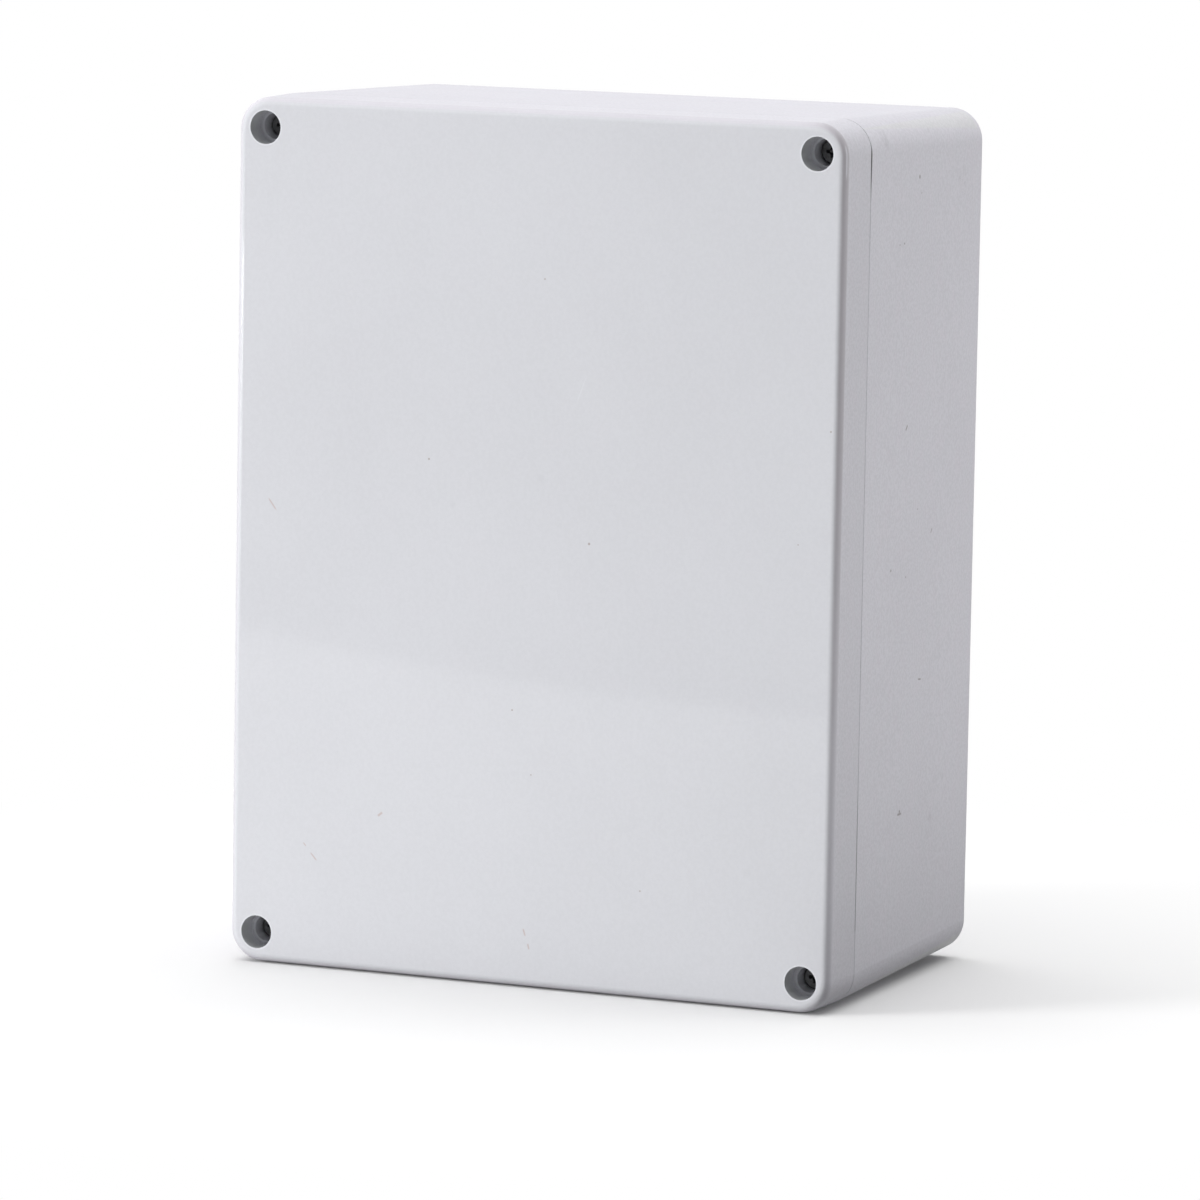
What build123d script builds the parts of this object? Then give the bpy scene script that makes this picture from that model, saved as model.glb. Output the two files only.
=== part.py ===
from build123d import *
import os

# Plastic project box: a deep moulded base and a shallow moulded lid with a cord gasket between them.
# Four captive screws in the corners of the lid turn into brass inserts in the towers of the base.
# The box is modelled lying on its back, with its width along X, its height along Y and its depth
# along Z, and is stood up on its lower side at the end, with the lid facing -Y.
# All sizes are in millimetres and all angles in degrees.

# Outer form, measured at the parting plane between base and lid
width = 240.0
height = 320.0
depth = 140.0
lid_depth = 23.5
corner_radius = 12.0
front_edge_radius = 3.0
back_edge_radius = 1.5
seam_chamfer = 0.3
lid_draft = 0.8
base_draft = 1.2

# Walls
wall = 4.0
back_wall = 4.0
lid_face = 3.5
partition = 3.0
inner_bend_radius = 5.0

# Seal: a tongue on the base presses the gasket in the groove of the lid
tongue_thickness = 1.7
tongue_height = 3.0
groove_clearance = 0.3
groove_rib = 1.6
rib_reach = 2.0
gasket_height = 3.0
gasket_clearance = 0.05

# Stepped bores in the lid for the screws
screw_inset = 11.3
mouth_diameter = 12.3
mouth_depth = 8.8
neck_diameter = 9.6
seat_depth = 17.5
shank_hole_diameter = 3.9

# Lid screws, with a long waist that keeps them in the lid
head_diameter = 8.5
head_height = 3.5
recess_span = 4.6
recess_slot = 1.1
recess_depth = 2.0
waist_diameter = 3.4
thread_diameter = 5.0
thread_length = 9.0
thread_tip_chamfer = 0.8

# Threaded inserts
insert_diameter = 7.0
insert_length = 8.0
insert_depth = 10.0
thread_fit = 0.05
insert_fit = 0.02
tip_space = 6.0
tip_clearance = 0.5

# Fixing pockets beside the towers, with holes through the back wall
fixing_step = 17.0
pocket_length = 19.0
pocket_corner_radius = 3.0
fixing_hole_diameter = 5.2
lid_tower_wall = 1.9

# Bosses on the inside of the back wall, for a mounting plate and for a circuit board
plate_pitch_x = 170.0
plate_pitch_y = 250.0
plate_boss_diameter = 10.0
plate_boss_height = 10.0
plate_pilot_diameter = 3.6
board_pitch_x = 110.0
board_pitch_y = 160.0
board_boss_diameter = 7.0
board_boss_height = 6.0
board_pilot_diameter = 2.6
pilot_floor = 3.0
gusset_reach = 5.0
gusset_thickness = 2.0
gusset_drop = 2.0

# How far a cut runs past the face that it opens
overshoot = 1.0

# Heights over the back of the box
parting = depth - lid_depth
tongue_top = parting + tongue_height
groove_floor = tongue_top + gasket_height
lid_ceiling = depth - lid_face
seat = depth - seat_depth
insert_top = parting - insert_depth
insert_bottom = insert_top - insert_length

# Places across the box
screw_x = width / 2 - screw_inset
screw_y = height / 2 - screw_inset
fixing_y = screw_y - fixing_step
pocket_width = 2 * (screw_inset - wall)
block_x = wall + pocket_width + partition
block_y = screw_inset + fixing_step + pocket_length / 2 + partition
groove_outer = tongue_thickness + groove_clearance


def at_corners(x, y, z=0.0):
    return [Location((side_x * x, side_y * y, z)) for side_x in (-1, 1) for side_y in (-1, 1)]


def upright_edges(block):
    """The edges of a block that run from its bottom to its top."""
    return block.edges().group_by(Axis.Z)[1]


def drafted(outline, bottom, top, angle):
    """A block with its outline at the parting plane. It narrows above it, or below by a negative angle."""
    block = extrude(Pos(0, 0, bottom) * outline, top - bottom)
    sides = block.faces().filter_by(Axis.Z, reverse=True)
    return draft(sides, Plane((0, 0, parting)), angle)


def outer_block(bottom, top, angle):
    block = drafted(Rectangle(width, height), bottom, top, angle)
    return fillet(upright_edges(block), corner_radius)


def inner_outline(grow):
    """The inside of the box: a cross whose four inner corners bend round the corner blocks."""
    across = Rectangle(width - 2 * wall + 2 * grow, height - 2 * block_y + 2 * grow)
    along = Rectangle(width - 2 * block_x + 2 * grow, height - 2 * wall + 2 * grow)
    return across + along


def is_bend(corner):
    """Whether a corner of the inside lies at a corner block, and not at the outer wall."""
    place = corner.center()
    near_x = abs(place.X) < width / 2 - block_x + pocket_width / 2
    near_y = abs(place.Y) < height / 2 - block_y + pocket_width / 2
    return near_x and near_y


def with_round_corners(shape, list_corners, grow):
    """Rounds the corners of the inside so that two offsets of it run side by side."""
    shape = fillet(ShapeList(c for c in list_corners(shape) if is_bend(c)), inner_bend_radius - grow)
    return fillet(ShapeList(c for c in list_corners(shape) if not is_bend(c)), inner_bend_radius + grow)


def inner_profile(grow):
    return with_round_corners(inner_outline(grow), lambda sketch: sketch.vertices(), grow)


def inner_block(grow, bottom, top, angle):
    return with_round_corners(drafted(inner_outline(grow), bottom, top, angle), upright_edges, grow)


def loop(outer_grow, inner_grow, bottom, top):
    """A closed band that follows the inside of the box between two offsets."""
    band = inner_profile(outer_grow) - inner_profile(inner_grow)
    return extrude(Pos(0, 0, bottom) * band, top - bottom)


def pocket_profile(near_edge):
    """The fixing pocket beside a tower, from near_edge past the screw to its far end."""
    length = fixing_step + pocket_length / 2 - near_edge
    return RectangleRounded(pocket_width, length, pocket_corner_radius)


def pocket_places(near_edge, z):
    middle = (fixing_step + pocket_length / 2 + near_edge) / 2
    return at_corners(screw_x, screw_y - middle, z)


def cylinder_between(diameter, bottom, top):
    upward = (Align.CENTER, Align.CENTER, Align.MIN)
    return Pos(0, 0, bottom) * Cylinder(diameter / 2, top - bottom, align=upward)


def with_bosses(body, pitch_x, pitch_y, boss_height, boss_diameter, pilot_diameter, gussets):
    """Four bosses on the inside of the back wall, each with a blind pilot hole."""
    top = back_wall + boss_height
    boss = cylinder_between(boss_diameter, back_wall / 2, top) + gussets
    pilot = cylinder_between(pilot_diameter, pilot_floor, top + overshoot)
    for place in at_corners(pitch_x / 2, pitch_y / 2):
        body = body + place * boss - place * pilot
    return body


def boss_gussets(boss_height, boss_diameter):
    """Two crossed webs that lean against a boss from four sides."""
    foot = boss_diameter / 2 + gusset_reach
    top = back_wall + boss_height - gusset_drop
    outline = [(-foot, back_wall / 2), (foot, back_wall / 2), (foot, back_wall), (boss_diameter / 2, top)]
    outline += [(-boss_diameter / 2, top), (-foot, back_wall)]
    side = make_face(Plane.XZ * Polyline(outline, close=True))
    web = extrude(side, gusset_thickness / 2, both=True)
    return web + Rot(0, 0, 90) * web


def make_base():
    body = outer_block(0, parting, -base_draft)
    body = fillet(body.edges().group_by(Axis.Z)[0], back_edge_radius)
    body = chamfer(body.edges().group_by(Axis.Z)[-1], seam_chamfer)
    body += loop(tongue_thickness, -tongue_thickness, parting - wall, tongue_top)
    body -= inner_block(0, back_wall, tongue_top + overshoot, -base_draft)
    near_edge = insert_diameter / 2 + wall
    for place in pocket_places(near_edge, back_wall):
        body -= place * extrude(pocket_profile(near_edge), parting - back_wall + overshoot)
    for place in at_corners(screw_x, fixing_y):
        body -= place * cylinder_between(fixing_hole_diameter, -overshoot, back_wall + overshoot)
    tip_hole = thread_diameter + 2 * tip_clearance
    for place in at_corners(screw_x, screw_y):
        body -= place * cylinder_between(insert_diameter + 2 * insert_fit, insert_bottom, parting + overshoot)
        body -= place * cylinder_between(tip_hole, insert_bottom - tip_space, parting)
    gussets = boss_gussets(plate_boss_height, plate_boss_diameter)
    body = with_bosses(
        body,
        plate_pitch_x,
        plate_pitch_y,
        plate_boss_height,
        plate_boss_diameter,
        plate_pilot_diameter,
        gussets,
    )
    return with_bosses(
        body,
        board_pitch_x,
        board_pitch_y,
        board_boss_height,
        board_boss_diameter,
        board_pilot_diameter,
        [],
    )


def make_lid():
    body = outer_block(parting, depth, lid_draft)
    body = fillet(body.edges().group_by(Axis.Z)[-1], front_edge_radius)
    body = chamfer(body.edges().group_by(Axis.Z)[0], seam_chamfer)
    rib_inside = -groove_clearance - groove_rib
    body += loop(-groove_clearance, rib_inside - groove_rib, parting - rib_reach, parting + wall)
    body -= inner_block(rib_inside, parting - rib_reach - overshoot, lid_ceiling, lid_draft)
    body -= loop(groove_outer, -groove_clearance, parting - rib_reach, groove_floor)
    near_edge = mouth_diameter / 2 + lid_tower_wall
    for place in pocket_places(near_edge, parting - overshoot):
        body -= place * extrude(pocket_profile(near_edge), lid_ceiling - parting + overshoot)
    for place in at_corners(screw_x, screw_y):
        body -= place * cylinder_between(mouth_diameter, depth - mouth_depth, depth + overshoot)
        body -= place * cylinder_between(neck_diameter, seat, depth)
        body -= place * cylinder_between(shank_hole_diameter, parting - overshoot, depth)
    return body


def make_gasket():
    outer = groove_outer - gasket_clearance
    inner = gasket_clearance - groove_clearance
    return loop(outer, inner, tongue_top, groove_floor)


def make_screw():
    thread_bottom = insert_top - thread_length
    head = cylinder_between(head_diameter, seat, seat + head_height)
    waist = cylinder_between(waist_diameter, thread_bottom + thread_tip_chamfer, seat + head_height / 4)
    thread = cylinder_between(thread_diameter, thread_bottom, insert_top)
    thread = chamfer(thread.edges().group_by(Axis.Z)[0], thread_tip_chamfer)
    arm = Box(recess_span, recess_slot, recess_depth, align=(Align.CENTER, Align.CENTER, Align.MAX))
    recess = Pos(0, 0, seat + head_height) * (arm + Rot(0, 0, 90) * arm)
    return head + waist + thread - recess


def make_insert():
    bore = thread_diameter + 2 * thread_fit
    sleeve = cylinder_between(insert_diameter, insert_bottom, insert_top)
    return sleeve - cylinder_between(bore, insert_bottom - overshoot, insert_top + overshoot)


def stand_up(shape):
    return Location((0, depth / 2, height / 2), (90, 0, 0)) * shape


def write(name, shape):
    shape = stand_up(shape)
    shape.label = name
    export_step(shape, f"parts/{name}.step")


def main():
    os.makedirs("parts", exist_ok=True)
    write("base", make_base())
    write("lid", make_lid())
    write("gasket", make_gasket())
    inserts = [place * make_insert() for place in at_corners(screw_x, screw_y)]
    write("threaded_inserts", Compound(children=inserts))
    for name_x, side_x in (("left", -1), ("right", 1)):
        for name_y, side_y in (("bottom", -1), ("top", 1)):
            place = Location((side_x * screw_x, side_y * screw_y, 0))
            write(f"lid_screw_{name_y}_{name_x}", place * make_screw())


if __name__ == "__main__":
    main()
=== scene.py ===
"""Plastic project box: the looks of the moulded base and lid, the lid screws, the brass inserts,
the cord gasket, and a plain studio around them."""

import math

import bpy
import numpy as np
from mathutils import Matrix, Vector


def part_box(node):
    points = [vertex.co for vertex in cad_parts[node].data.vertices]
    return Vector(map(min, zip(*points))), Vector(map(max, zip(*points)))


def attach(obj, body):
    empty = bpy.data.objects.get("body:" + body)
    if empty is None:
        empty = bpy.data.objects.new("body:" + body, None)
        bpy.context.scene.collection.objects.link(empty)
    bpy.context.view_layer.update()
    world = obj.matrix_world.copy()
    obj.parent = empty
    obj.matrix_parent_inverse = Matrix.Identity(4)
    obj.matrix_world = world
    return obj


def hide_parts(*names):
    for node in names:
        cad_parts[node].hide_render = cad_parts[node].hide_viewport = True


bl_info = {
    "name": "Plastic project box",
    "version": (1, 0, 0),
    "blender": (4, 5, 0),
    "location": "3D View > Sidebar > Project Box",
    "description": "Dresses a sealed plastic enclosure and builds its small parts",
    "category": "Object",
}

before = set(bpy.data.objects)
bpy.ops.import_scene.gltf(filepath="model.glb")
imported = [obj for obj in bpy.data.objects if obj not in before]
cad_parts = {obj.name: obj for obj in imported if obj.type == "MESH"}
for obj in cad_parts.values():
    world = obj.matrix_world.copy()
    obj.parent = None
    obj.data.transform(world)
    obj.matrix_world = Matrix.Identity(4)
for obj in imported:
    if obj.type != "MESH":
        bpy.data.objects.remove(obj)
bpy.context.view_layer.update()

MM = 0.001
SCREW_NODES = (
    "lid_screw_top_left",
    "lid_screw_top_right",
    "lid_screw_bottom_left",
    "lid_screw_bottom_right",
)

# Places on the box in millimetres, as the CAD has them
HALF_WIDTH = 120.0
MIDDLE_HEIGHT = 160.0
CORNER_RADIUS = 12.0
PARTING_Y = -46.5
FACE_Y = -70.0
BACK_Y = 70.0
SCREW_X = 108.7
SCREW_Z = 148.7
BORE_RADIUS = 6.15
BORE_STEP_Y = -61.2
SEAT_Y = -52.5
NECK_RADIUS = 4.8
BLOCK_EDGE_X = 99.9
BLOCK_EDGE_Z = 120.7
# What lies within these, counted from the middle, belongs to the inside of the base and of the lid
BASE_WALL_X = 116.3
BASE_WALL_UP = 156.3
BACK_WALL_Y = 66.3
LID_WALL_X = 115.0
LID_WALL_UP = 155.0
LID_CEILING_Y = -66.8

# Marks on the front of the lid: x and height of the middle, and radius
FACE_SPECKS = (
    (-41.0, 191.2, 0.45),
    (23.1, 164.3, 0.55),
    (-6.3, 101.7, 0.4),
    (4.0, 259.0, 0.35),
    (116.1, 210.4, 0.4),
    (104.4, 169.3, 0.3),
    (45.5, 39.5, 0.35),
    (1.6, 78.5, 0.3),
)
FACE_BLEMISHES = ((87.2, 49.6, 1.9), (-31.1, 175.0, 1.4), (3.7, 187.0, 1.6))
# Scratches: where they start and end, and their width
FACE_SCRATCHES = (
    (-105.9, 173.2, -102.2, 168.3, 0.4),
    (-59.8, 58.4, -57.6, 60.2, 0.6),
    (-89.9, 46.4, -88.6, 44.9, 0.3),
    (-87.0, 43.0, -84.1, 39.8, 0.4),
    (-0.6, 22.0, 0.4, 18.9, 0.45),
    (1.3, 16.6, 2.0, 14.1, 0.45),
)
# A pale score in the gloss
FACE_SCORES = ((21.2, 225.3, 17.0, 214.2, 0.35),)
# Specks and smudges on the right side: y and height of the middle, and radius
SIDE_SPECKS = (
    (3.3, 296.6, 0.85),
    (5.7, 290.6, 0.35),
    (-11.0, 273.4, 0.5),
    (-15.8, 273.2, 0.4),
    (8.4, 175.1, 0.35),
    (-17.8, 155.3, 0.6),
    (-2.2, 151.3, 0.4),
    (-3.4, 65.2, 0.75),
)
SIDE_TICKS = (
    (-5.8, 204.9, -3.6, 207.2, 0.6),
    (23.0, 164.6, 24.2, 166.6, 0.45),
    (12.8, 112.0, 16.4, 111.6, 0.45),
    (-6.0, 64.3, -1.0, 64.3, 0.65),
)
SIDE_SMUDGES = (
    (48.5, 293.4, 5.0),
    (-31.6, 312.6, 4.5),
    (14.7, 314.3, 2.5),
    (40.9, 72.5, 2.0),
    (23.8, 67.0, 1.6),
    (28.8, 58.8, 2.6),
    (26.2, 52.5, 2.0),
)
# A painted highlight on the right side of the lid's edge, by y and height, and a score on the lid's top, by
# x and y
RIM_HIGHLIGHTS = ((-68.4, 314.0, -68.4, 299.0, 0.4),)
TOP_SCORES = ((-24.0, -66.0, -9.0, -58.0, 0.5),)
# Marks of the ejector pins inside, the same in all four quarters: x, height over the middle, and radius
BASE_PINS = ((88.0, 60.0, 4.0), (30.0, 128.0, 4.0), (20.0, 30.0, 4.0))
LID_PINS = ((94.0, 60.0, 4.0), (30.0, 134.0, 4.0), (40.0, 40.0, 4.0))

# Where the parting line opens: four heights over the middle, between which the gap grows and closes again
UPPER_GAP = (127.0, 141.0, 147.0, 152.5)
LOWER_GAP = (-72.0, -98.0, -131.5, -133.5)
# Painted shade in the holes in the towers of the base, from their mouth to past the insert, as four values
# of y
INSERT_BORE_Y = (-47.5, -45.5, -24.0, -20.0)

# Colours of dirt, marks and wear, of painted shade, and white, as red, green, blue and alpha
BLACK = (0.0, 0.0, 0.0, 1.0)
WHITE = (1.0, 1.0, 1.0, 1.0)
WARM_CAST = (0.72, 0.58, 0.68, 1.0)
COOL_CAST = (0.55, 0.62, 0.62, 1.0)
SEAM_DARK = (0.055, 0.048, 0.045, 1.0)
SIDE_SPECK = (0.17, 0.145, 0.14, 1.0)
FACE_SPECK = (0.30, 0.23, 0.20, 1.0)
SCRATCH = (0.50, 0.38, 0.36, 1.0)
TOP_SCORE = (0.40, 0.40, 0.42, 1.0)
# Painted shade on the rounded edge of the lid's front
FILLET_SHADE_PAINT = (0.20, 0.15, 0.15, 1.0)
FOOT_TONE = (0.42, 0.40, 0.38, 1.0)
# Painted shade in the holes of the base's towers
TOWER_SHADE_PAINT = (0.3, 0.3, 0.31, 1.0)
GREASE = (0.05, 0.05, 0.05, 1.0)
TARNISH = (0.42, 0.27, 0.12, 1.0)
BLOOM = (0.12, 0.12, 0.125, 1.0)
# Painted shade: the greenish grey that the walls of the lid's screw bores are darkened towards
BORE_SHADE_PAINT = (0.62, 0.65, 0.645)

# The table in millimetres: the bright part before the lid, the dull strip beside the box and the share of
# its light that it sends on, and how far from the middle the table turns plain white
BRIGHT_X = (220.0, 150.0)
BRIGHT_Y = (-72.0, -80.0, -220.0, -300.0)
STRIP_Y = (-170.0, -150.0, 190.0, 210.0)
STRIP_BOUNCE = 0.03
TABLE_FADE = (170.0, 420.0)
# The near edge of the reflected card, a parabola: its tip by x and y in metres, and its bend
REFLECTION_TIP = (-0.055, -0.742)
REFLECTION_BEND = 0.66
# Where the lights hang, in metres
OVERHEAD_PLACE = (-0.1, 0.25, 2.0)
LEFT_LAMP_PLACE = (-2.38, -2.14, 0.65)
REAR_LAMP_PLACE = (2.13, 1.23, 0.45)

FULL_TURN = 2 * math.pi
# Edges between faces that meet at more than this stay sharp
SHARP_ANGLE = math.radians(38.0)
# The tip of a screw, in millimetres: the height of its low dome, and how far its cone cuts into the thread
TIP_DOME = 0.02
TIP_CUT = 0.9
# How many rows of points the top of a screw's head has, from its middle to its rim
HEAD_ROWS = 28
# The rows of an insert: across each end, down the knurled outside, and up the bore
END_ROWS, OUTSIDE_ROWS, BORE_ROWS = 4, 60, 70

# The path of the gasket: the half sizes of the cross that runs round the corner blocks
CROSS_WIDE = (116.0, 119.2)
CROSS_TALL = (98.4, 156.0)
BEND = 5.0


class Wire:
    """The output of a node. Arithmetic on it adds Math nodes to its recipe."""

    def __init__(self, recipe, socket):
        self.recipe = recipe
        self.socket = socket

    def math(self, operation, *values):
        return self.recipe.node("ShaderNodeMath", {"operation": operation}, dict(enumerate(values)))

    def __add__(self, other):
        return self.math("ADD", self, other)

    __radd__ = __add__

    def __sub__(self, other):
        return self.math("SUBTRACT", self, other)

    def __rsub__(self, other):
        return self.math("SUBTRACT", other, self)

    def __mul__(self, other):
        return self.math("MULTIPLY", self, other)

    __rmul__ = __mul__

    def __truediv__(self, other):
        return self.math("DIVIDE", self, other)

    def __abs__(self):
        return self.math("ABSOLUTE", self)

    def root(self):
        return self.math("SQRT", self)

    def most(self, other):
        return self.math("MAXIMUM", self, other)

    def least(self, other):
        return self.math("MINIMUM", self, other)

    def wave(self):
        return self.math("SINE", self)

    def rise(self, low, high):
        """0 up to low, 1 from high on, and a smooth step between. It falls where high is the smaller."""
        sockets = {"Value": self, "From Min": low, "From Max": high}
        return self.recipe.node("ShaderNodeMapRange", {"interpolation_type": "SMOOTHSTEP"}, sockets)

    def between(self, start, full, fade, end):
        """0 up to start, 1 from full to fade, and 0 again from end on. The four may also fall."""
        return self.rise(start, full) * self.rise(end, fade)


class Recipe:
    """A tree of shader nodes that is being written, for a material or for the world."""

    def __init__(self, owner):
        owner.use_nodes = True
        self.tree = owner.node_tree
        self.tree.nodes.clear()

    def node(self, kind, settings=None, sockets=None, output=0):
        """Adds one node: its settings first, then the values or links of its sockets."""
        made = self.tree.nodes.new(kind)
        for name, value in (settings or {}).items():
            setattr(made, name, value)
        for name, value in (sockets or {}).items():
            if isinstance(value, Wire):
                self.tree.links.new(value.socket, made.inputs[name])
            else:
                made.inputs[name].default_value = value
        return Wire(self, made.outputs[output])

    def spot(self):
        """The place on the object, as a vector in metres."""
        return self.node("ShaderNodeTexCoord", output="Object")

    def place(self):
        """The place on the object: as a vector in metres, and as x, y and z in millimetres."""
        spot = self.spot()
        axes = [self.node("ShaderNodeSeparateXYZ", None, {0: spot}, axis) for axis in range(3)]
        return spot, *[axis * 1000.0 for axis in axes]

    def noise(self, spot, per_metre, detail=2.0, roughness=0.5, stretch=None):
        """Cloudy noise from 0 to 1, with so many clouds to a metre, stretched along the axes on request."""
        if stretch:
            spot = self.node("ShaderNodeVectorMath", {"operation": "MULTIPLY"}, {0: spot, 1: stretch})
        sockets = {"Vector": spot, "Scale": per_metre, "Detail": detail, "Roughness": roughness}
        return self.node("ShaderNodeTexNoise", None, sockets)

    def tint(self, share, under, over):
        """The colour under, covered by the colour over in this share."""
        return self.node("ShaderNodeMix", {"data_type": "RGBA"}, {0: share, 6: under, 7: over}, 2)

    def dots(self, u, v, spots):
        """1 on round spots, each given by its middle and radius, with soft rims."""
        total = None
        for middle_u, middle_v, radius in spots:
            far_u = u - middle_u
            far_v = v - middle_v
            away = (far_u * far_u + far_v * far_v).root()
            dot = away.rise(radius * 1.15, radius * 0.5)
            total = dot if total is None else total.most(dot)
        return total

    def strokes(self, u, v, lines):
        """1 on straight scratches, each given by its two ends and its width, thinner at the ends."""
        total = None
        for start_u, start_v, end_u, end_v, width in lines:
            length = math.hypot(end_u - start_u, end_v - start_v)
            along_u, along_v = (end_u - start_u) / length, (end_v - start_v) / length
            far_u = u - (start_u + end_u) / 2
            far_v = v - (start_v + end_v) / 2
            along = abs(far_u * along_u + far_v * along_v)
            aside = abs(far_v * along_u - far_u * along_v)
            stroke = along.rise(length / 2, length / 4) * aside.rise(width, width * 0.25)
            total = stroke if total is None else total.most(stroke)
        return total

    def bump(self, height):
        """A normal from a height in millimetres."""
        return self.node("ShaderNodeBump", None, {"Strength": 1.0, "Distance": MM, "Height": height})

    def surface(self, fixed, colour, roughness, height):
        """Principled surface: fixed values on its sockets, and what varies over the piece."""
        varying = {"Base Color": colour, "Roughness": roughness, "Normal": self.bump(height)}
        shader = self.node("ShaderNodeBsdfPrincipled", None, {**fixed, **varying})
        self.node_output("ShaderNodeOutputMaterial", shader)

    def ray(self, kind):
        """1 where a ray is of this kind, such as one from the camera."""
        return self.node("ShaderNodeLightPath", output=f"Is {kind} Ray")

    def shown(self):
        """1 for rays that show a thing, straight or by a mirror, and 0 for those that gather its light."""
        return (self.ray("Camera") + self.ray("Glossy") + self.ray("Transmission")).least(1.0)

    def node_output(self, kind, shader):
        out = self.tree.nodes.new(kind)
        self.tree.links.new(shader.socket, out.inputs["Surface"])


def shade(rgb, factor):
    """A colour made darker or lighter, with full alpha."""
    return (rgb[0] * factor, rgb[1] * factor, rgb[2] * factor, 1.0)


def new_material(name, rgb):
    """An empty material with its plain colour for the 3D view."""
    material = bpy.data.materials.new(name)
    material.diffuse_color = shade(rgb, 1.0)
    return material


def dress(node_name, material):
    """Gives a CAD node its material."""
    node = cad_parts.get(node_name)
    if node is None:
        raise RuntimeError(f"the frame has no node named {node_name}")
    node.data.materials.clear()
    node.data.materials.append(material)


def bore_distance(x, z):
    """How far a point of the housing is from the axis of the nearest screw, in millimetres."""
    from_x = abs(x) - SCREW_X
    from_z = abs(z - MIDDLE_HEIGHT) - SCREW_Z
    return (from_x * from_x + from_z * from_z).root()


def plastic_colour(recipe, spot, colour, mottle):
    """Moulded plastic over its plain colour: clouds and streaks of the melt's flow, and mottled grain."""
    clouds = recipe.noise(spot, 9.0, 3.0, 0.55).rise(0.3, 0.7)
    flow = recipe.noise(spot, 30.0, 4.0, 0.6, (1.0, 1.0, 0.25)).rise(0.52, 0.75)
    pepper = recipe.noise(spot, 2600.0, 0.0).rise(0.72, 0.8)
    grain = recipe.noise(spot, 850.0, 2.0, 0.6).rise(0.35, 0.65) * mottle
    colour = recipe.tint(clouds * 0.026 + flow * 0.008 + pepper * 0.03 + grain * 0.085, colour, BLACK)
    warm = recipe.noise(spot, 150.0, 2.0).rise(0.45, 0.7) * mottle
    cool = recipe.noise(spot, 110.0, 2.0).rise(0.6, 0.3) * mottle
    colour = recipe.tint(warm * 0.05, colour, WARM_CAST)
    return recipe.tint(cool * 0.04, colour, COOL_CAST)


def spark_grain(recipe, spot, look):
    """Height of the fine grain that a spark-eroded mould leaves, in millimetres."""
    fine = recipe.noise(spot, 1000.0 / look.grain_size, 2.0, 0.55)
    coarse = recipe.noise(spot, 240.0 / look.grain_size, 1.0)
    return fine * look.grain_depth + coarse * (look.grain_depth * 0.6)


def seam_shadow(recipe, spot, x, y, up, colour):
    """The parting line: a hairline that opens to a dark gap near the upper corners and down at the foot.

    Only the outermost skin has it, within a millimetre of the rounded outline.
    """
    beyond_x = (abs(x) - (HALF_WIDTH - CORNER_RADIUS)).most(0.0)
    beyond_z = (abs(up) - (MIDDLE_HEIGHT - CORNER_RADIUS)).most(0.0)
    beyond = (beyond_x * beyond_x + beyond_z * beyond_z).root()
    skin_share = beyond.rise(CORNER_RADIUS - 1.0, CORNER_RADIUS - 0.5)
    upper_gap = up.between(*UPPER_GAP)
    lower_gap = up.between(*LOWER_GAP)
    gap = upper_gap.most(lower_gap * 0.4)
    wander = recipe.noise(spot, 14.0, 2.0).rise(0.35, 0.7)
    half_width = gap * 0.38 + 0.25
    seam = abs(y - PARTING_Y).rise(half_width * 1.3, half_width * 0.5) * skin_share
    hairline = (wander * 0.12 + up.rise(139.0, 148.0) * 0.32 + 0.08) * up.rise(-135.5, -132.5)
    return recipe.tint(seam * (hairline + gap * 0.68), colour, SEAM_DARK)


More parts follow.
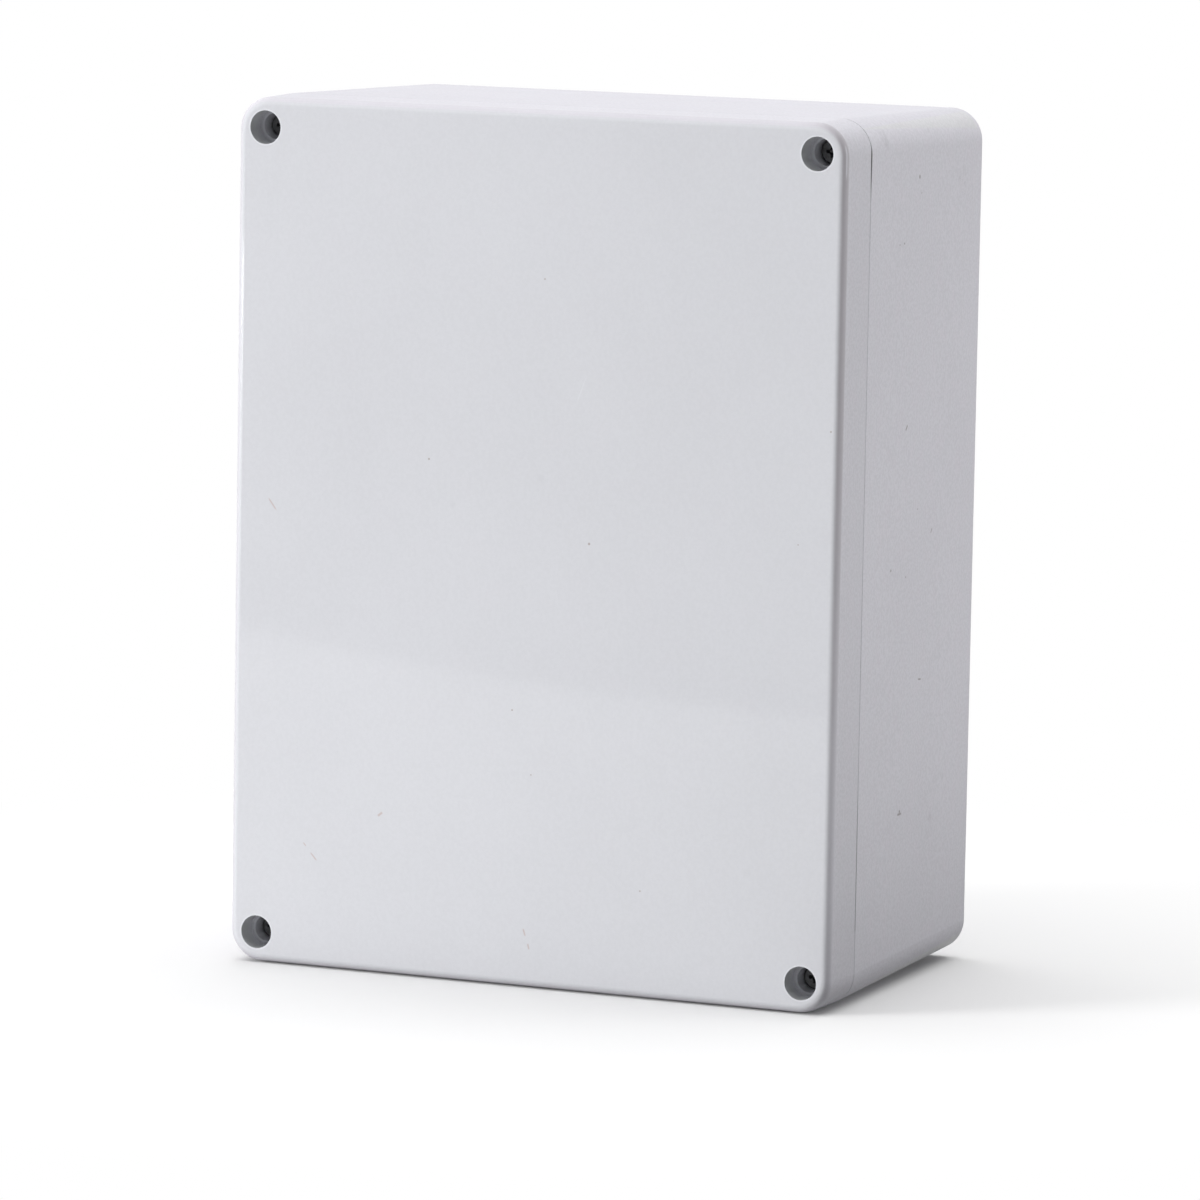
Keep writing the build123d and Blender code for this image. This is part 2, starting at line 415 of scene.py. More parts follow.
def base_finish(look):
    """The deep shell: satin grain outside, smooth inside with the round marks of the ejector pins."""
    material = new_material("base_plastic", look.colour)
    recipe = Recipe(material)
    spot, x, y, z = recipe.place()
    up = z - MIDDLE_HEIGHT
    inside = abs(x).rise(BASE_WALL_X + 0.6, BASE_WALL_X) * abs(up).rise(BASE_WALL_UP + 0.6, BASE_WALL_UP)
    inside = inside * y.rise(BACK_WALL_Y + 0.6, BACK_WALL_Y)
    outer = 1.0 - inside
    colour = recipe.tint(inside, shade(look.side_colour, 1.0), shade(look.inner_colour, 1.0))
    colour = plastic_colour(recipe, spot, colour, 1.0)
    right = x.rise(110.0, 112.0) * outer

    specks = recipe.dots(y, z, SIDE_SPECKS).most(recipe.strokes(y, z, SIDE_TICKS)) * right * look.marks
    dirt = recipe.noise(spot, 220.0, 4.0, 0.7).rise(0.4, 0.65)
    smudges = recipe.dots(y, z, SIDE_SMUDGES) * dirt * right * look.marks
    colour = recipe.tint(specks * 0.68, colour, SIDE_SPECK)
    colour = recipe.tint(smudges * 0.3, colour, shade(look.side_colour, 0.6))
    top = up.rise(155.0, 157.0) * outer
    streaks = recipe.noise(spot, 16.0, 3.0, 0.6, (6.0, 1.0, 1.0)).rise(0.58, 0.75) * top
    colour = recipe.tint(streaks * 0.04 * look.marks, colour, shade(look.side_colour, 0.86))

    colour = seam_shadow(recipe, spot, x, y, up, colour)
    # Darker in clouds along the bottom 5 mm of the outside
    foot = z.rise(5.0, 0.5) * outer * recipe.noise(spot, 90.0, 4.0, 0.7).rise(0.45, 0.7)
    colour = recipe.tint(foot * 0.3 * look.marks, colour, FOOT_TONE)
    back = y.rise(BACK_Y - 0.8, BACK_Y - 0.2)
    rub = recipe.noise(spot, 60.0, 5.0, 0.7, (1.0, 1.0, 4.0)).rise(0.56, 0.74) * back
    colour = recipe.tint(rub * 0.12, colour, shade(look.side_colour, 0.8))
    # Painted shade in the holes of the towers, round the inserts
    bore = bore_distance(x, z).rise(4.4, 3.2) * y.between(*INSERT_BORE_Y)
    colour = recipe.tint(bore * 0.25, colour, TOWER_SHADE_PAINT)

    pin_rims = recipe.dots(abs(x), abs(up), BASE_PINS).between(0.0, 0.4, 0.6, 1.0)
    pulls = recipe.noise(spot, 40.0, 3.0, 0.6, (0.6, 5.0, 0.6)) * inside
    height = spark_grain(recipe, spot, look) * (1.0 - inside * 0.85)
    height = height + pin_rims * inside * 0.05 + pulls * 0.01
    rough = look.side_roughness + rub * 0.1 - inside * 0.08 + recipe.noise(spot, 55.0, 3.0) * 0.08

    recipe.surface({"IOR": 1.5, "Specular IOR Level": look.side_specular}, colour, rough, height)
    return material


def lid_finish(look):
    """The cover: a polished front with faint sinks and marks, satin sides, and stepped screw bores, with
    painted shade and highlights.
    """
    material = new_material("lid_plastic", look.colour)
    recipe = Recipe(material)
    spot, x, y, z = recipe.place()
    up = z - MIDDLE_HEIGHT
    from_axis = bore_distance(x, z)
    front = y.rise(FACE_Y + 0.7, FACE_Y + 0.1)
    polished = y.rise(FACE_Y + 3.4, FACE_Y + 2.4)
    in_bore = from_axis.rise(BORE_RADIUS + 0.25, BORE_RADIUS + 0.05)
    in_bore = in_bore * y.between(FACE_Y + 0.05, FACE_Y + 0.6, SEAT_Y + 1.0, SEAT_Y + 2.0)
    inside = abs(x).rise(LID_WALL_X + 1.0, LID_WALL_X) * abs(up).rise(LID_WALL_UP + 1.0, LID_WALL_UP)
    inside = inside * y.rise(LID_CEILING_Y - 0.4, LID_CEILING_Y) * (1.0 - in_bore)
    outer = 1.0 - inside
    flank = abs(x).rise(114.0, 119.0)
    colour = recipe.tint(flank, shade(look.side_colour, 1.0), shade(look.side_colour, look.lid_side_shade))
    colour = recipe.tint(front, colour, shade(look.colour, 1.0))
    colour = recipe.tint(inside, colour, shade(look.inner_colour, 1.0))
    colour = plastic_colour(recipe, spot, colour, 1.0 - polished * 0.75)

    specks = recipe.dots(x, z, FACE_SPECKS) * front * look.marks
    colour = recipe.tint(specks * 0.62, colour, FACE_SPECK)
    blemishes = recipe.dots(x, z, FACE_BLEMISHES) * front * look.marks
    colour = recipe.tint(blemishes * 0.1, colour, shade(look.colour, 0.75))
    scratches = recipe.strokes(x, z, FACE_SCRATCHES) * front * look.marks
    colour = recipe.tint(scratches * 0.62, colour, SCRATCH)
    scores = recipe.strokes(x, z, FACE_SCORES) * front * look.marks
    colour = recipe.tint(scores * 0.35, colour, shade(look.colour, 1.12))
    top = up.rise(157.0, 158.5)
    top_scores = recipe.strokes(x, y, TOP_SCORES) * top * look.marks
    colour = recipe.tint(top_scores * 0.3, colour, TOP_SCORE)

    # Painted highlight: a thin pale line on the right side of the lid's edge
    rim_highlight = recipe.strokes(y, z, RIM_HIGHLIGHTS) * x.rise(118.0, 119.0) * look.marks
    # Painted shade on the rounded edge of the front: on the right it grows towards the top, elsewhere it is
    # weaker and even
    right = x.rise(100.0, 118.0)
    edge = (polished - front) * outer * look.marks
    edge = edge * (up.rise(-120.0, 60.0) * right * 0.27 + (1.0 - right) * 0.12)
    colour = recipe.tint(edge, colour, FILLET_SHADE_PAINT)
    colour = recipe.tint(rim_highlight * 0.7, colour, shade(look.colour, 1.2))
    colour = seam_shadow(recipe, spot, x, y, up, colour)
    # Painted highlight: a pale ring round the mouth of each screw bore on the front
    rim = from_axis.between(BORE_RADIUS - 0.2, BORE_RADIUS, BORE_RADIUS + 0.3, BORE_RADIUS + 0.7)
    colour = recipe.tint(rim * front * 0.6, colour, shade(look.colour, 1.16))
    deep = y.rise(FACE_Y + 0.4, BORE_STEP_Y)
    # Painted highlight: a pale line along the step where each bore narrows to its neck
    neck_step_highlight = from_axis.between(NECK_RADIUS - 0.2, NECK_RADIUS, NECK_RADIUS + 0.3, NECK_RADIUS + 0.9)
    neck_step_highlight = neck_step_highlight * (y - BORE_STEP_Y).between(-0.6, -0.2, 0.3, 0.8)
    # Painted shade in the screw bores, strongest near their mouth
    colour = recipe.tint(in_bore * (0.82 - deep * 0.46), colour, shade(BORE_SHADE_PAINT, look.bore_shade))
    colour = recipe.tint(neck_step_highlight * 0.5, colour, shade(look.colour, 1.1))

    sink_x = abs(abs(x) - BLOCK_EDGE_X).rise(7.0, 0.0) * abs(up).rise(BLOCK_EDGE_Z - 4.0, BLOCK_EDGE_Z + 4.0)
    sink_z = abs(abs(up) - BLOCK_EDGE_Z).rise(7.0, 0.0) * abs(x).rise(BLOCK_EDGE_X - 4.0, BLOCK_EDGE_X + 4.0)
    sinks = sink_x.most(sink_z) * front
    waves = recipe.noise(spot, 11.0, 2.0, 0.4, (1.0, 1.0, 0.35)) * front
    pulls = recipe.noise(spot, 40.0, 3.0, 0.6, (0.6, 5.0, 0.6)) * inside
    pin_rims = recipe.dots(abs(x), abs(up), LID_PINS).between(0.0, 0.4, 0.6, 1.0) * inside
    smooth = (polished + inside * 0.85).least(1.0)
    height = spark_grain(recipe, spot, look) * (1.0 - smooth)
    height = height - sinks * look.sink_depth + waves * look.wave_depth + pulls * 0.01 + pin_rims * 0.05
    height = height - (specks + scratches) * 0.01 - scores * 0.02
    rough = look.side_roughness - front * (look.side_roughness - look.face_roughness) - inside * 0.08
    rough = rough + recipe.noise(spot, 55.0, 3.0) * (0.04 - front * 0.03) + (scratches + scores) * 0.2

    recipe.surface({"IOR": 1.5, "Specular IOR Level": look.face_specular}, colour, rough, height)
    return material


def add_object(name, data):
    """A new object at the origin with this mesh, light or camera."""
    made = bpy.data.objects.new(name, data)
    bpy.context.scene.collection.objects.link(made)
    return made


def add_mesh(name, points, faces, material):
    """A new object with a mesh of these points, in metres."""
    mesh = bpy.data.meshes.new(name)
    mesh.from_pydata(points.tolist(), [], faces)
    mesh.materials.append(material)
    return add_object(name, mesh)


def skin(name, grid, material, looped):
    """A closed mesh from a grid of points in millimetres.

    Row i and column j of the grid are two parameters of the surface. The columns close on themselves.
    The rows close on themselves too if looped, and otherwise each end row is closed by a fan to its middle.
    """
    rows, columns = grid.shape[:2]
    points = grid.reshape(-1, 3) * MM
    row = np.arange(rows if looped else rows - 1)[:, None]
    column = np.arange(columns)[None, :]
    beside = (column + 1) % columns
    below = (row + 1) % rows
    here, under = row * columns, below * columns
    corners = np.broadcast_arrays(here + column, here + beside, under + beside, under + column)
    faces = np.stack(corners, axis=-1).reshape(-1, 4).tolist()
    if not looped:
        ends = np.stack([grid[0].mean(axis=0), grid[-1].mean(axis=0)]) * MM
        first, last = len(points), len(points) + 1
        points = np.concatenate([points, ends])
        around = np.arange(columns)
        after = (around + 1) % columns
        bottom = (rows - 1) * columns
        faces += np.stack([after, around, np.full(columns, first)], axis=-1).tolist()
        faces += np.stack([bottom + around, bottom + after, np.full(columns, last)], axis=-1).tolist()
    piece = add_mesh(name, points, faces, material)
    piece.data.validate()
    piece.data.shade_smooth()
    piece.data.set_sharp_from_angle(angle=SHARP_ANGLE)
    return piece


def ridge(phase):
    """A thread's section over one pitch: a flat root, two sloping flanks and a narrow flat crest."""
    across = np.abs(phase - np.floor(phase) - 0.5)
    return np.clip((0.42 - across) / 0.34, 0.0, 1.0)


def spread(start, end, count):
    """Points evenly from start towards end, the end itself left out."""
    return np.linspace(start, end, count, endpoint=False)


def screw_profile(sizes, head_radius, length):
    """The screw's outline from the middle of the head to the tip: radius and depth below the head's top."""
    chamfer, head, waist, thread = 0.4, sizes.head_height, sizes.waist_radius, sizes.thread_radius
    thread_start = length - sizes.thread_length
    core = thread - sizes.thread_depth
    stretches = (
        (spread(0.1, head_radius - chamfer, HEAD_ROWS), spread(0.0, 0.0, HEAD_ROWS)),
        (spread(head_radius - chamfer, head_radius, 3), spread(0.0, chamfer, 3)),
        (spread(head_radius, head_radius, 5), spread(chamfer, head - 0.15, 5)),
        (spread(head_radius, head_radius - 0.15, 2), spread(head - 0.15, head, 2)),
        (spread(head_radius - 0.15, waist + 0.3, 5), spread(head, head, 5)),
        (waist + 0.3 * (1 - np.sin(spread(0, 1.5, 4))), head + 0.3 * (1 - np.cos(spread(0, 1.5, 4)))),
        (spread(waist, waist, 12), spread(head + 0.3, thread_start - 0.4, 12)),
        (spread(waist, core, 4), spread(thread_start - 0.4, thread_start, 4)),
        (spread(core, core, 90), spread(thread_start, length - TIP_DOME, 90)),
        (spread(core, 0.1, 6), spread(length - TIP_DOME, length, 6)),
    )
    radius = np.concatenate([r for r, _ in stretches])
    depth = np.concatenate([d for _, d in stretches])
    return radius, depth


def cross_recess(sizes, across, up):
    """Depth of the driver's recess: two tapered arms and a round middle, with steep sloping walls."""
    def arm(along, aside):
        wall = np.clip((sizes.recess_slot / 2 + 0.06 - np.abs(aside)) / 0.12, 0.0, 1.0)
        end = np.clip((sizes.recess_span / 2 - np.abs(along)) / 0.55, 0.0, 1.0)
        return wall * end

    middle = np.clip((1.2 - np.hypot(across, up)) / 0.3, 0.0, 1.0)
    deepest = np.maximum(np.maximum(arm(across, up), arm(up, across)), middle)
    return sizes.recess_depth * deepest


def screw_surface(sizes, low, high):
    """A lid screw between the corners of its CAD box, in millimetres.

    It turns its outline round its axis. The head's top sinks by the cross recess. On the thread the radius
    grows by the ridge, whose phase is the depth over the pitch less the share of a turn, so it winds, and
    the ridge fades in at its start. A cone over the last stretch bounds the tip.
    """
    head_radius, length = (high[0] - low[0]) / 2, high[1] - low[1]
    radius, depth = screw_profile(sizes, head_radius, length)
    radius, depth = radius[:, None], depth[:, None]
    turn = spread(0.0, FULL_TURN, 96)[None, :]
    thread_start = length - sizes.thread_length
    winding = ridge(depth / sizes.thread_pitch - turn / FULL_TURN)
    tip = depth >= length - TIP_DOME
    fade = np.clip(depth - thread_start, 0.0, 1.0) * ~tip
    full = radius + sizes.thread_depth * winding * fade
    cone = sizes.thread_radius - TIP_CUT + (length - depth)
    full = np.where(depth > thread_start, np.minimum(full, np.maximum(cone, 0.1)), full)
    full = np.minimum(full, np.where(tip, radius * 0.75, full))
    across, up = full * np.cos(turn), full * np.sin(turn)
    on_top = np.arange(len(radius))[:, None] < HEAD_ROWS
    sunk = depth + np.where(on_top, cross_recess(sizes, across, up), 0.0)
    middle_x, middle_z = (low[0] + high[0]) / 2, (low[2] + high[2]) / 2
    return np.stack([middle_x + across, low[1] + sunk, middle_z + up], axis=-1)


def insert_surface(sizes, middle, half_length):
    """A knurled brass sleeve round the axis through middle, in millimetres.

    Its rows follow the section: out along the front end, down the outside, in along the rear end and back
    up the bore. Outside, two bands are cut by crossed slanting grooves, and the waist between them is
    narrower. The bore has a thread of the same pitch as the screws.
    """
    outer, inner = sizes.radius, sizes.bore_radius
    thread_depth, waist_depth, bevel = 0.35, 0.45, 0.2
    flat = np.linspace(inner + thread_depth, outer - 0.3, END_ROWS - 1)
    edge, outside, bore = np.array([outer - bevel]), np.full(OUTSIDE_ROWS, outer), np.full(BORE_ROWS, inner)
    radius = np.concatenate([flat, edge, outside, edge, flat[::-1], bore])
    down = np.linspace(bevel, 2 * half_length - bevel, OUTSIDE_ROWS)
    back_up = np.linspace(2 * half_length, 0.0, BORE_ROWS)
    depth = np.concatenate([np.zeros(END_ROWS), down, np.full(END_ROWS, 2 * half_length), back_up])
    radius, depth = radius[:, None], depth[:, None]
    turn = spread(0.0, FULL_TURN, 144)[None, :]
    teeth = turn * sizes.teeth / FULL_TURN
    slant = (depth - half_length) * 0.9
    right_hand = np.abs((teeth + slant) % 1.0 - 0.5) * 2
    left_hand = np.abs((teeth - slant) % 1.0 - 0.5) * 2
    parts = ("front", "outside", "rear", "bore")
    part = np.repeat(parts, (END_ROWS, OUTSIDE_ROWS, END_ROWS, BORE_ROWS))[:, None]
    waist = np.clip((0.9 - np.abs(depth - half_length)) / 0.2, 0.0, 1.0)
    cut = sizes.knurl_depth * np.maximum(right_hand, left_hand) * (1 - waist) + waist_depth * waist
    thread = thread_depth * (1 - ridge(depth / sizes.thread_pitch - turn / FULL_TURN))
    full = radius - np.where(part == "outside", cut, 0.0) + np.where(part == "bore", thread, 0.0)
    across, up = full * np.cos(turn), full * np.sin(turn)
    back = np.broadcast_to(depth - half_length, full.shape)
    return np.stack([middle[0] + across, middle[1] + back, middle[2] + up], axis=-1)


def cord_path(grow):
    """The line that the gasket follows: a cross-shaped outline with round corners.

    The corners of the cross are listed once round. At each one the line is an arc that touches both
    sides, with a radius that grows outside and shrinks inside with the offset from the wall. Straight runs
    between the arcs come from joining one arc's end to the next one's start.
    """
    wide_x, wide_z = CROSS_WIDE[0] + grow, CROSS_WIDE[1] + grow
    tall_x, tall_z = CROSS_TALL[0] + grow, CROSS_TALL[1] + grow
    quarter = np.array([(wide_x, wide_z), (tall_x, wide_z), (tall_x, tall_z)])
    second = quarter[::-1] * (-1, 1)
    ring = np.concatenate([quarter, second, -quarter, -second])
    before = np.roll(ring, 1, axis=0) - ring
    after = np.roll(ring, -1, axis=0) - ring
    before /= np.linalg.norm(before, axis=1, keepdims=True)
    after /= np.linalg.norm(after, axis=1, keepdims=True)
    hollow = (before[:, 0] * after[:, 1] - before[:, 1] * after[:, 0]) > 0
    reach = np.where(hollow, BEND - grow, BEND + grow)[:, None, None]
    share = np.linspace(0, math.pi / 2, 13)[None, :, None]
    middle = ring[:, None] + reach * (before + after)[:, None]
    arc = middle - reach * (after[:, None] * np.cos(share) + before[:, None] * np.sin(share))
    return with_even_runs(arc.reshape(-1, 2))


def with_even_runs(line):
    """The same closed line with points about 4 mm apart on its straight runs."""
    closed = np.concatenate([line, line[:1]])
    steps = np.linalg.norm(np.diff(closed, axis=0), axis=1)
    travelled = np.concatenate([[0.0], np.cumsum(steps)])
    even = np.arange(0.0, travelled[-1], 4.0)
    stations = np.unique(np.round(np.concatenate([travelled[:-1], even]), 3))
    return np.stack([np.interp(stations, travelled, closed[:, axis]) for axis in range(2)], axis=-1)


def gasket_surface(sizes, low, high):
    """The cord carried along its path: a rounded, slightly flattened section, thinner at its glued joint.

    The section is a superellipse, cosine and sine to the power of two thirds, as wide as the groove leaves
    and as high as the CAD box. It stands square to the path. Near the lower middle of the box the cord's
    two ends meet, and the section shrinks there by a bell curve.
    """
    line = cord_path(sizes.offset)
    along = np.roll(line, -1, axis=0) - np.roll(line, 1, axis=0)
    along /= np.linalg.norm(along, axis=1, keepdims=True)
    aside = np.stack([along[:, 1], -along[:, 0]], axis=-1)
    turn = spread(0.0, FULL_TURN, 24)
    circle = np.stack([np.cos(turn), np.sin(turn)])
    section = np.abs(circle) ** (2 / 3) * np.sign(circle)
    from_joint = np.hypot(line[:, 0], line[:, 1] + MIDDLE_HEIGHT)
    snug = 1 - sizes.joint_pinch * np.exp(-((from_joint / 1.2) ** 2))
    width = sizes.width / 2 * snug[:, None] * section[0][None, :]
    rise = (high[1] - low[1]) / 2 * snug[:, None] * section[1][None, :]
    x = line[:, 0, None] + aside[:, 0, None] * width
    z = line[:, 1, None] + aside[:, 1, None] * width + MIDDLE_HEIGHT
    y = (low[1] + high[1]) / 2 + rise
    return np.stack([x, y, z], axis=-1)


def steel_finish(look):
    """Dark plated steel: fine turning rings round each screw's axis, dull patches, and black grease."""
    material = new_material("screw_steel", look.colour)
    recipe = Recipe(material)
    spot, x, _, z = recipe.place()
    from_axis = bore_distance(x, z)
    turning = recipe.noise(spot, 60.0, 2.0) * 0.6 + from_axis
    rings = (turning * 40.0).wave()
    dull = recipe.noise(spot, 700.0, 4.0, 0.65).rise(0.35, 0.7)
    colour = recipe.tint(dull, shade(look.colour, 1.1), shade(look.colour, 0.75))
    grease = recipe.noise(spot, 260.0, 3.0).rise(0.5, 0.7)
    colour = recipe.tint(grease * 0.5, colour, GREASE)
    rough = look.roughness + dull * 0.16 + rings * 0.03
    recipe.surface({"Metallic": 1.0}, colour, rough, rings * 0.002 + dull * 0.004)
    return material


def brass_finish(look):
    """Turned brass: bright on the teeth, darker and redder where it has tarnished."""
    material = new_material("insert_brass", look.colour)
    recipe = Recipe(material)
    spot, x, y, z = recipe.place()
    tarnish = recipe.noise(spot, 420.0, 4.0, 0.6).rise(0.4, 0.75)
    low = bore_distance(x, z).rise(3.5, 3.2)
    colour = recipe.tint(tarnish.most(low * 0.7), shade(look.colour, 1.05), TARNISH)
    rough = look.roughness + tarnish * 0.2
    lines = (y * 50.0).wave()
    recipe.surface({"Metallic": 1.0}, colour, rough, lines * 0.003)
    return material


def rubber_finish(look):
    """Black cord rubber: fine pores and a grey bloom."""
    material = new_material("gasket_rubber", look.colour)
    recipe = Recipe(material)
    spot = recipe.spot()
    bloom = recipe.noise(spot, 120.0, 4.0, 0.65).rise(0.45, 0.8)
    pores = recipe.noise(spot, 1800.0, 2.0).rise(0.55, 0.7)
    colour = recipe.tint(bloom * 0.35, shade(look.colour, 1.0), BLOOM)
    colour = recipe.tint(pores * 0.5, colour, shade(look.colour, 0.5))
    rough = look.roughness + bloom * 0.15
    recipe.surface({"Specular IOR Level": 0.35}, colour, rough, bloom * 0.01 - pores * 0.02)
    return material


def corners_mm(node_name):
    """A CAD node's lowest and highest corners, in millimetres."""
    low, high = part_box(node_name)
    return np.array(low) / MM, np.array(high) / MM


def colour_property(name, description, default):
    """A colour that the user may change."""
    return bpy.props.FloatVectorProperty(
        name=name, description=description, subtype="COLOR", size=3, min=0.0, max=1.0, default=default
    )


def share_property(name, description, default, low=0.0, high=1.0):
    """A share that the user may change, from low to high."""
    return bpy.props.FloatProperty(
        name=name, description=description, subtype="FACTOR", min=low, max=high, default=default
    )


def strength_property(name, description, high, default):
    """The strength of a light that the user may change, up to high."""
    return bpy.props.FloatProperty(name=name, description=description, min=0.0, max=high, default=default)


def angle_property(name, description, degrees):
    """An angle that the user may change."""
    return bpy.props.FloatProperty(
        name=name, description=description, subtype="ANGLE", default=math.radians(degrees)
    )


def length_property(name, description, low, default):
    """A length in metres that the user may change, from low up."""
    return bpy.props.FloatProperty(
        name=name, description=description, unit="LENGTH", min=low, default=default
    )


def size_property(name, description, low, high, default):
    """A length in millimetres that the user may change, from low to high."""
    return bpy.props.FloatProperty(
        name=name, description=description + ", in millimetres", min=low, max=high, default=default
    )


class HousingLook(bpy.types.PropertyGroup):
    colour: colour_property("Plastic colour", "Colour of the moulded plastic", (0.661, 0.668, 0.703))
    side_colour: colour_property(
        "Side colour", "Colour of the satin sides, a little warmer than the front", (0.676, 0.668, 0.719)
    )
    inner_colour: colour_property(
        "Inner colour", "Colour of the inside of the base and the lid", (0.668, 0.668, 0.69)
    )
    lid_side_shade: share_property(
        "Lid side shade", "Brightness of the lid's sides beside those of the base", 0.93, low=0.5
    )
    side_roughness: share_property("Side roughness", "Roughness of the satin sides and back", 0.5)
    side_specular: share_property("Side sheen", "Strength of the base's reflection", 0.35)
    face_roughness: share_property("Front roughness", "Roughness of the polished front of the lid", 0.03)
    face_specular: share_property("Front sheen", "Strength of the lid's reflection", 0.5)
    grain_size: size_property("Grain size", "Size of the grain on the sides", 0.1, 2.0, 0.6)
    grain_depth: size_property("Grain depth", "Depth of the grain on the sides", 0.0, 0.1, 0.012)
    sink_depth: size_property(
        "Sink depth", "Depth of the sinks over the walls behind the front", 0.0, 0.2, 0.02
    )
    wave_depth: size_property("Wave depth", "Depth of the waves in the front", 0.0, 0.5, 0.05)
    # Painted shade: how bright the darkened screw bores are beside the clean plastic
    bore_shade: share_property(
        "Bore shade", "Brightness of the grimy screw bores beside the clean plastic", 0.72
    )
    marks: share_property("Marks", "Strength of the specks, scratches and smudges", 1.0)


class ScrewSizes(bpy.types.PropertyGroup):
    colour: colour_property("Steel colour", "Colour of the dark plated screws", (0.14, 0.14, 0.145))
    roughness: share_property("Roughness", "Roughness of the plating", 0.42)
    head_height: size_property("Head height", "Height of the head", 1.0, 8.0, 3.5)
    waist_radius: size_property("Waist radius", "Radius of the plain shank", 0.5, 3.0, 1.7)
    thread_radius: size_property("Thread radius", "Radius over the thread", 1.0, 4.0, 2.5)
    thread_depth: size_property("Thread depth", "Depth of the thread", 0.1, 1.0, 0.45)
    thread_pitch: size_property("Thread pitch", "Advance in one turn", 0.3, 2.0, 0.8)
    thread_length: size_property("Thread length", "Length of the thread", 2.0, 20.0, 9.0)
    recess_span: size_property("Recess span", "Width of the cross recess", 1.0, 8.0, 4.6)
    recess_slot: size_property("Recess slot", "Width of the recess's arms", 0.3, 3.0, 1.1)
    recess_depth: size_property("Recess depth", "Depth of the recess", 0.5, 3.0, 2.0)


class InsertSizes(bpy.types.PropertyGroup):
    colour: colour_property("Brass colour", "Colour of the inserts", (0.72, 0.56, 0.30))
    roughness: share_property("Roughness", "Roughness of the brass", 0.3)
    radius: size_property("Radius", "Radius over the knurl", 2.0, 6.0, 3.5)
    bore_radius: size_property("Bore radius", "Radius of the bore", 1.0, 4.0, 2.55)
    thread_pitch: size_property("Thread pitch", "Advance in one turn", 0.3, 2.0, 0.8)
    knurl_depth: size_property("Knurl depth", "Depth of the knurl", 0.0, 0.5, 0.15)
    teeth: bpy.props.IntProperty(
        name="Teeth", description="Knurl teeth round the insert", min=12, max=72, default=36
    )


class GasketSizes(bpy.types.PropertyGroup):
    colour: colour_property("Rubber colour", "Colour of the cord", (0.045, 0.045, 0.05))
    roughness: share_property("Roughness", "Roughness of the rubber", 0.62)
    width: size_property("Width", "Width of the cord", 0.5, 6.0, 2.2)
    offset: size_property("Offset", "Middle of the cord outside the inner wall", 0.0, 2.0, 0.85)
    joint_pinch: share_property(
        "Joint pinch", "How much thinner the cord is where its ends are glued", 0.12, high=0.5
    )


class StudioSettings(bpy.types.PropertyGroup):
    azimuth: angle_property("Azimuth", "How far the camera stands to the right of the front", 23.787)
    elevation: angle_property("Elevation", "How far the camera looks down", 7.432)
    roll: angle_property("Roll", "How far the camera is turned about its line of sight", 0.9905)
    distance: length_property("Distance", "From the camera to the point it looks at", 0.5, 2.8557)
    aim: bpy.props.FloatVectorProperty(
        name="Aim",
        description="The point that the camera looks at",
        unit="LENGTH",
        size=3,
        default=(-0.00307, 0.0, 0.1343),
    )
    lens: size_property("Lens", "Focal length", 20.0, 500.0, 231.47)
    sky: strength_property("Room light", "Even light from all round", 2.0, 0.2)
    overhead: strength_property("Overhead light", "Strength of the wide light from above", 10.0, 2.65)
    left_lamp: strength_property(
        "Left lamp", "Power of the soft box at the front left, in watts", 200.0, 91.5
    )
    rear_lamp: strength_property(
        "Rear lamp", "Power of the soft box behind on the right, in watts", 200.0, 17.5
    )
    floor: colour_property("Floor colour", "Colour of the table", (0.87, 0.87, 0.87))
    front_bounce: share_property("Front bounce", "How much light the table before the lid sends on", 0.68)
    shade_width: length_property(
        "Shade width", "Width of the dull strip of table beside the box", 0.0, 0.08
    )
    floor_bounce: share_property("Floor bounce", "How much of its light the table sends on to the box", 0.5)


class DressBase(bpy.types.Operator):
    """Give the moulded base its plastic"""

    bl_idname = "project_box.dress_base"
    bl_label = "Dress the base"

    def execute(self, context):
        dress("base", base_finish(context.scene.box_housing))
        return {"FINISHED"}


class DressLid(bpy.types.Operator):
    """Give the moulded lid its plastic, with a polished front"""

    bl_idname = "project_box.dress_lid"
    bl_label = "Dress the lid"

    def execute(self, context):
        dress("lid", lid_finish(context.scene.box_housing))
        return {"FINISHED"}


class BuildScrews(bpy.types.Operator):
    """Build the four lid screws with their threads and cross recesses"""

    bl_idname = "project_box.build_screws"
    bl_label = "Build the lid screws"

    def execute(self, context):
        sizes = context.scene.box_screws
        steel = steel_finish(sizes)
        for node in SCREW_NODES:
            surface = screw_surface(sizes, *corners_mm(node))
            screw = skin(node + "_turned", surface, steel, looped=False)
            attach(screw, node.removeprefix("lid_"))
            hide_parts(node)
        return {"FINISHED"}


class BuildInserts(bpy.types.Operator):
    """Build the four knurled brass inserts in the towers of the base"""

    bl_idname = "project_box.build_inserts"
    bl_label = "Build the inserts"

    def execute(self, context):
        sizes = context.scene.box_inserts
        brass = brass_finish(sizes)
        low, high = corners_mm("threaded_inserts")
        half_length = (high[1] - low[1]) / 2
        for side, x in (("left", low[0] + sizes.radius), ("right", high[0] - sizes.radius)):
            for end, z in (("bottom", low[2] + sizes.radius), ("top", high[2] - sizes.radius)):
                surface = insert_surface(sizes, (x, low[1] + half_length, z), half_length)
                insert = skin(f"insert_{end}_{side}", surface, brass, looped=True)
                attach(insert, "base")
                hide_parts("threaded_inserts")
        return {"FINISHED"}


